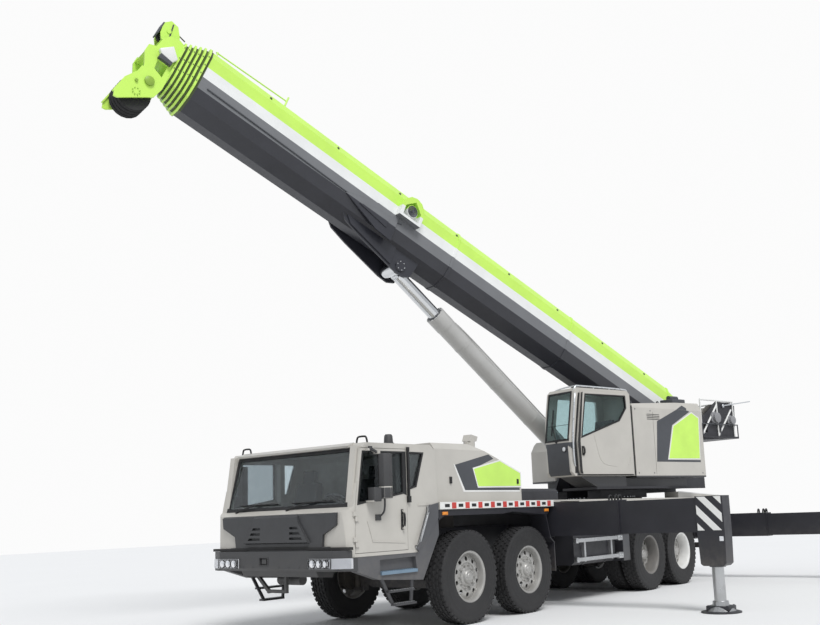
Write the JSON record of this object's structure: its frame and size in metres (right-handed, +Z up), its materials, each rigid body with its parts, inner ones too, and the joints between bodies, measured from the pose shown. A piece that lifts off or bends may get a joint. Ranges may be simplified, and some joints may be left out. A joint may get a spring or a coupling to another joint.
{
  "type": "truck crane",
  "caption": "Truck-mounted telescopic crane on a multi-axle carrier, boom raised over the low cab, outriggers spread and jacks down.",
  "frame": {"origin": "under the middle of the overall box, on the ground", "axes": "+X to the front of the carrier, +Y to its left side, +Z up"},
  "size_m": [14.8412, 8.7216, 9.6823],
  "materials": {
    "black_steel": "semi-gloss paint",
    "bare_steel": "brushed",
    "cast": "rough",
    "warm_grey": "gloss paint",
    "dark_grey": "satin paint",
    "lime": "gloss paint",
    "window": "clear tinted",
    "lens": "clear lens",
    "black_plastic": "matt",
    "tyre": "rubber"
  },
  "bodies": {
    "carrier": {"chassis_frame": "black_steel", "engine_block": "cast", "hood_and_deck": "warm_grey", "fenders": "black_steel", "cab_shell": "warm_grey", "cab_glass": "window", "front_bumper": "dark_grey", "lamps": "lens", "cab_skirts": "dark_grey", "cab_interior": "black_plastic", "side_rails": "bare_steel", "tanks": "black_steel", "axles": "black_steel"},
    "upper": {"upper_frame": "black_steel", "side_housings": "warm_grey", "operator_cab": "warm_grey", "operator_glass": "window", "operator_seat": "black_plastic"},
    "operator_door": {"operator_door": "warm_grey", "operator_door_glass": "window"},
    "winch_main": {"winch_main": "bare_steel"},
    "winch_aux": {"winch_aux": "bare_steel"},
    "boom_base": {"boom_base": "dark_grey"},
    "lift_rod": {"lift_rod": "bare_steel"},
    "lift_barrel": {"lift_barrel": "warm_grey"},
    "sheaves_low": {"sheaves_low": "black_plastic"},
    "sheaves_top": {"sheaves_top": "black_plastic"},
    "cab_door_l": {"cab_door_l": "warm_grey", "door_glass_l": "window"},
    "cab_door_r": {"cab_door_r": "warm_grey", "door_glass_r": "window"},
    "wheel_1l": {"wheel_1l": "tyre"},
    "knuckle_1l": {"knuckle_1l": "cast"},
    "wheel_1r": {"wheel_1r": "tyre"},
    "knuckle_1r": {"knuckle_1r": "cast"},
    "wheel_2l": {"wheel_2l": "tyre"},
    "knuckle_2l": {"knuckle_2l": "cast"},
    "wheel_2r": {"wheel_2r": "tyre"},
    "knuckle_2r": {"knuckle_2r": "cast"},
    "wheel_3l": {"wheel_3l": "tyre"},
    "wheel_3r": {"wheel_3r": "tyre"},
    "wheel_4l": {"wheel_4l": "tyre"},
    "wheel_4r": {"wheel_4r": "tyre"},
    "beam1_front_l": {"beam1_front_l": "black_steel"},
    "beam2_front_l": {"beam2_front_l": "black_steel"},
    "jack_front_l": {"jack_front_l": "bare_steel"},
    "beam1_front_r": {"beam1_front_r": "black_steel"},
    "beam2_front_r": {"beam2_front_r": "black_steel"},
    "jack_front_r": {"jack_front_r": "bare_steel"},
    "beam1_rear_l": {"beam1_rear_l": "black_steel"},
    "beam2_rear_l": {"beam2_rear_l": "black_steel"},
    "jack_rear_l": {"jack_rear_l": "bare_steel"},
    "beam1_rear_r": {"beam1_rear_r": "black_steel"},
    "beam2_rear_r": {"beam2_rear_r": "black_steel"},
    "jack_rear_r": {"jack_rear_r": "bare_steel"},
    "boom_1": {"boom_1": "lime"},
    "boom_2": {"boom_2": "lime"},
    "boom_3": {"boom_3": "lime"},
    "boom_4": {"boom_4": "lime"},
    "boom_5": {"boom_5": "lime"}
  },
  "joints": [
    {"name": "cab_door_l_swing", "type": "hinge", "parent": "carrier", "child": "cab_door_l", "pos_m": [5.9091, 1.366, 1.29], "axis": [0, 0, -1], "range_deg": [0, 75]},
    {"name": "cab_door_r_swing", "type": "hinge", "parent": "carrier", "child": "cab_door_r", "pos_m": [5.9091, -1.366, 1.29], "axis": [0, 0, 1], "range_deg": [0, 75]},
    {"name": "steer_1l", "type": "hinge", "parent": "carrier", "child": "knuckle_1l", "pos_m": [3.4971, 0.95, 0.685], "axis": [0, 0, 1], "range_deg": [-30, 30]},
    {"name": "spin_1l", "type": "hinge", "parent": "knuckle_1l", "child": "wheel_1l", "pos_m": [3.4971, 1.205, 0.685], "axis": [0, 1, 0], "continuous": true},
    {"name": "steer_1r", "type": "hinge", "parent": "carrier", "child": "knuckle_1r", "pos_m": [3.4971, -0.95, 0.685], "axis": [0, 0, 1], "range_deg": [-30, 30]},
    {"name": "spin_1r", "type": "hinge", "parent": "knuckle_1r", "child": "wheel_1r", "pos_m": [3.4971, -1.205, 0.685], "axis": [0, 1, 0], "continuous": true},
    {"name": "steer_2l", "type": "hinge", "parent": "carrier", "child": "knuckle_2l", "pos_m": [1.9171, 0.95, 0.685], "axis": [0, 0, 1], "range_deg": [-21, 21]},
    {"name": "spin_2l", "type": "hinge", "parent": "knuckle_2l", "child": "wheel_2l", "pos_m": [1.9171, 1.205, 0.685], "axis": [0, 1, 0], "continuous": true},
    {"name": "steer_2r", "type": "hinge", "parent": "carrier", "child": "knuckle_2r", "pos_m": [1.9171, -0.95, 0.685], "axis": [0, 0, 1], "range_deg": [-21, 21]},
    {"name": "spin_2r", "type": "hinge", "parent": "knuckle_2r", "child": "wheel_2r", "pos_m": [1.9171, -1.205, 0.685], "axis": [0, 1, 0], "continuous": true},
    {"name": "spin_3l", "type": "hinge", "parent": "carrier", "child": "wheel_3l", "pos_m": [-2.4229, 1.205, 0.685], "axis": [0, 1, 0], "continuous": true},
    {"name": "spin_3r", "type": "hinge", "parent": "carrier", "child": "wheel_3r", "pos_m": [-2.4229, -1.205, 0.685], "axis": [0, 1, 0], "continuous": true},
    {"name": "spin_4l", "type": "hinge", "parent": "carrier", "child": "wheel_4l", "pos_m": [-3.9029, 1.205, 0.685], "axis": [0, 1, 0], "continuous": true},
    {"name": "spin_4r", "type": "hinge", "parent": "carrier", "child": "wheel_4r", "pos_m": [-3.9029, -1.205, 0.685], "axis": [0, 1, 0], "continuous": true},
    {"name": "beam1_front_l_out", "type": "slide", "parent": "carrier", "child": "beam1_front_l", "axis": [0, 1, 0], "range_m": [-1.66, 0]},
    {"name": "beam2_front_l_out", "type": "slide", "parent": "beam1_front_l", "child": "beam2_front_l", "axis": [0, 1, 0], "range_m": [-1.29, 0]},
    {"name": "jack_front_l_down", "type": "slide", "parent": "beam2_front_l", "child": "jack_front_l", "axis": [0, 0, -1], "range_m": [-0.5, 0]},
    {"name": "beam1_front_r_out", "type": "slide", "parent": "carrier", "child": "beam1_front_r", "axis": [0, -1, 0], "range_m": [-1.66, 0]},
    {"name": "beam2_front_r_out", "type": "slide", "parent": "beam1_front_r", "child": "beam2_front_r", "axis": [0, -1, 0], "range_m": [-1.29, 0]},
    {"name": "jack_front_r_down", "type": "slide", "parent": "beam2_front_r", "child": "jack_front_r", "axis": [0, 0, -1], "range_m": [-0.5, 0]},
    {"name": "beam1_rear_l_out", "type": "slide", "parent": "carrier", "child": "beam1_rear_l", "axis": [0, 1, 0], "range_m": [-1.66, 0]},
    {"name": "beam2_rear_l_out", "type": "slide", "parent": "beam1_rear_l", "child": "beam2_rear_l", "axis": [0, 1, 0], "range_m": [-1.29, 0]},
    {"name": "jack_rear_l_down", "type": "slide", "parent": "beam2_rear_l", "child": "jack_rear_l", "axis": [0, 0, -1], "range_m": [-0.5, 0]},
    {"name": "beam1_rear_r_out", "type": "slide", "parent": "carrier", "child": "beam1_rear_r", "axis": [0, -1, 0], "range_m": [-1.66, 0]},
    {"name": "beam2_rear_r_out", "type": "slide", "parent": "beam1_rear_r", "child": "beam2_rear_r", "axis": [0, -1, 0], "range_m": [-1.29, 0]},
    {"name": "jack_rear_r_down", "type": "slide", "parent": "beam2_rear_r", "child": "jack_rear_r", "axis": [0, 0, -1], "range_m": [-0.5, 0]},
    {"name": "slew", "type": "hinge", "parent": "carrier", "child": "upper", "pos_m": [-3.0029, 0, 1.835], "axis": [0, 0, 1], "continuous": true},
    {"name": "luff", "type": "hinge", "parent": "upper", "child": "boom_base", "pos_m": [-5.39011, 0.55113, 3.3], "axis": [-0.225, -0.9744, 0], "range_deg": [-21, 56]},
    {"name": "telescope_1", "type": "slide", "parent": "boom_base", "child": "boom_1", "axis": [0.8901, -0.2055, 0.4067], "range_m": [0, 7]},
    {"name": "telescope_2", "type": "slide", "parent": "boom_1", "child": "boom_2", "axis": [0.8901, -0.2055, 0.4067], "range_m": [0, 7]},
    {"name": "telescope_3", "type": "slide", "parent": "boom_2", "child": "boom_3", "axis": [0.8901, -0.2055, 0.4067], "range_m": [0, 7]},
    {"name": "telescope_4", "type": "slide", "parent": "boom_3", "child": "boom_4", "axis": [0.8901, -0.2055, 0.4067], "range_m": [0, 7]},
    {"name": "telescope_5", "type": "slide", "parent": "boom_4", "child": "boom_5", "axis": [0.8901, -0.2055, 0.4067], "range_m": [0, 7]},
    {"name": "sheaves_low_spin", "type": "hinge", "parent": "boom_5", "child": "sheaves_low", "pos_m": [7.01028, -2.31172, 8.24596], "axis": [-0.225, -0.9744, 0], "continuous": true},
    {"name": "sheaves_top_spin", "type": "hinge", "parent": "boom_5", "child": "sheaves_top", "pos_m": [6.46497, -2.18583, 9.4833], "axis": [-0.225, -0.9744, 0], "continuous": true},
    {"name": "lift_rod_swing", "type": "hinge", "parent": "boom_base", "child": "lift_rod", "pos_m": [2.18035, -1.19665, 6.15719], "axis": [-0.225, -0.9744, 0], "range_deg": [-5.75, 14.5]},
    {"name": "lift_barrel_slide", "type": "slide", "parent": "lift_rod", "child": "lift_barrel", "axis": [-0.7654, 0.1767, -0.6188], "range_m": [-0.953, 2.458]},
    {"name": "operator_door_slide", "type": "slide", "parent": "upper", "child": "operator_door", "axis": [-0.9744, 0.225, 0], "range_m": [0, 0.75]},
    {"name": "winch_main_spin", "type": "hinge", "parent": "upper", "child": "winch_main", "pos_m": [-6.45217, 0.79633, 3.64], "axis": [-0.225, -0.9744, 0], "continuous": true},
    {"name": "winch_aux_spin", "type": "hinge", "parent": "upper", "child": "winch_aux", "pos_m": [-7.04654, 0.93355, 3.6], "axis": [-0.225, -0.9744, 0], "continuous": true}
  ],
  "couplings": [
    {"joint": "steer_1r", "follows": "steer_1l", "ratio": 1},
    {"joint": "steer_2l", "follows": "steer_1l", "ratio": 0.7},
    {"joint": "steer_2r", "follows": "steer_1l", "ratio": 0.7},
    {"joint": "lift_rod_swing", "follows": "luff", "ratio": 0.25},
    {"joint": "lift_barrel_slide", "follows": "luff", "m_per_rad": 2.4637}
  ]
}
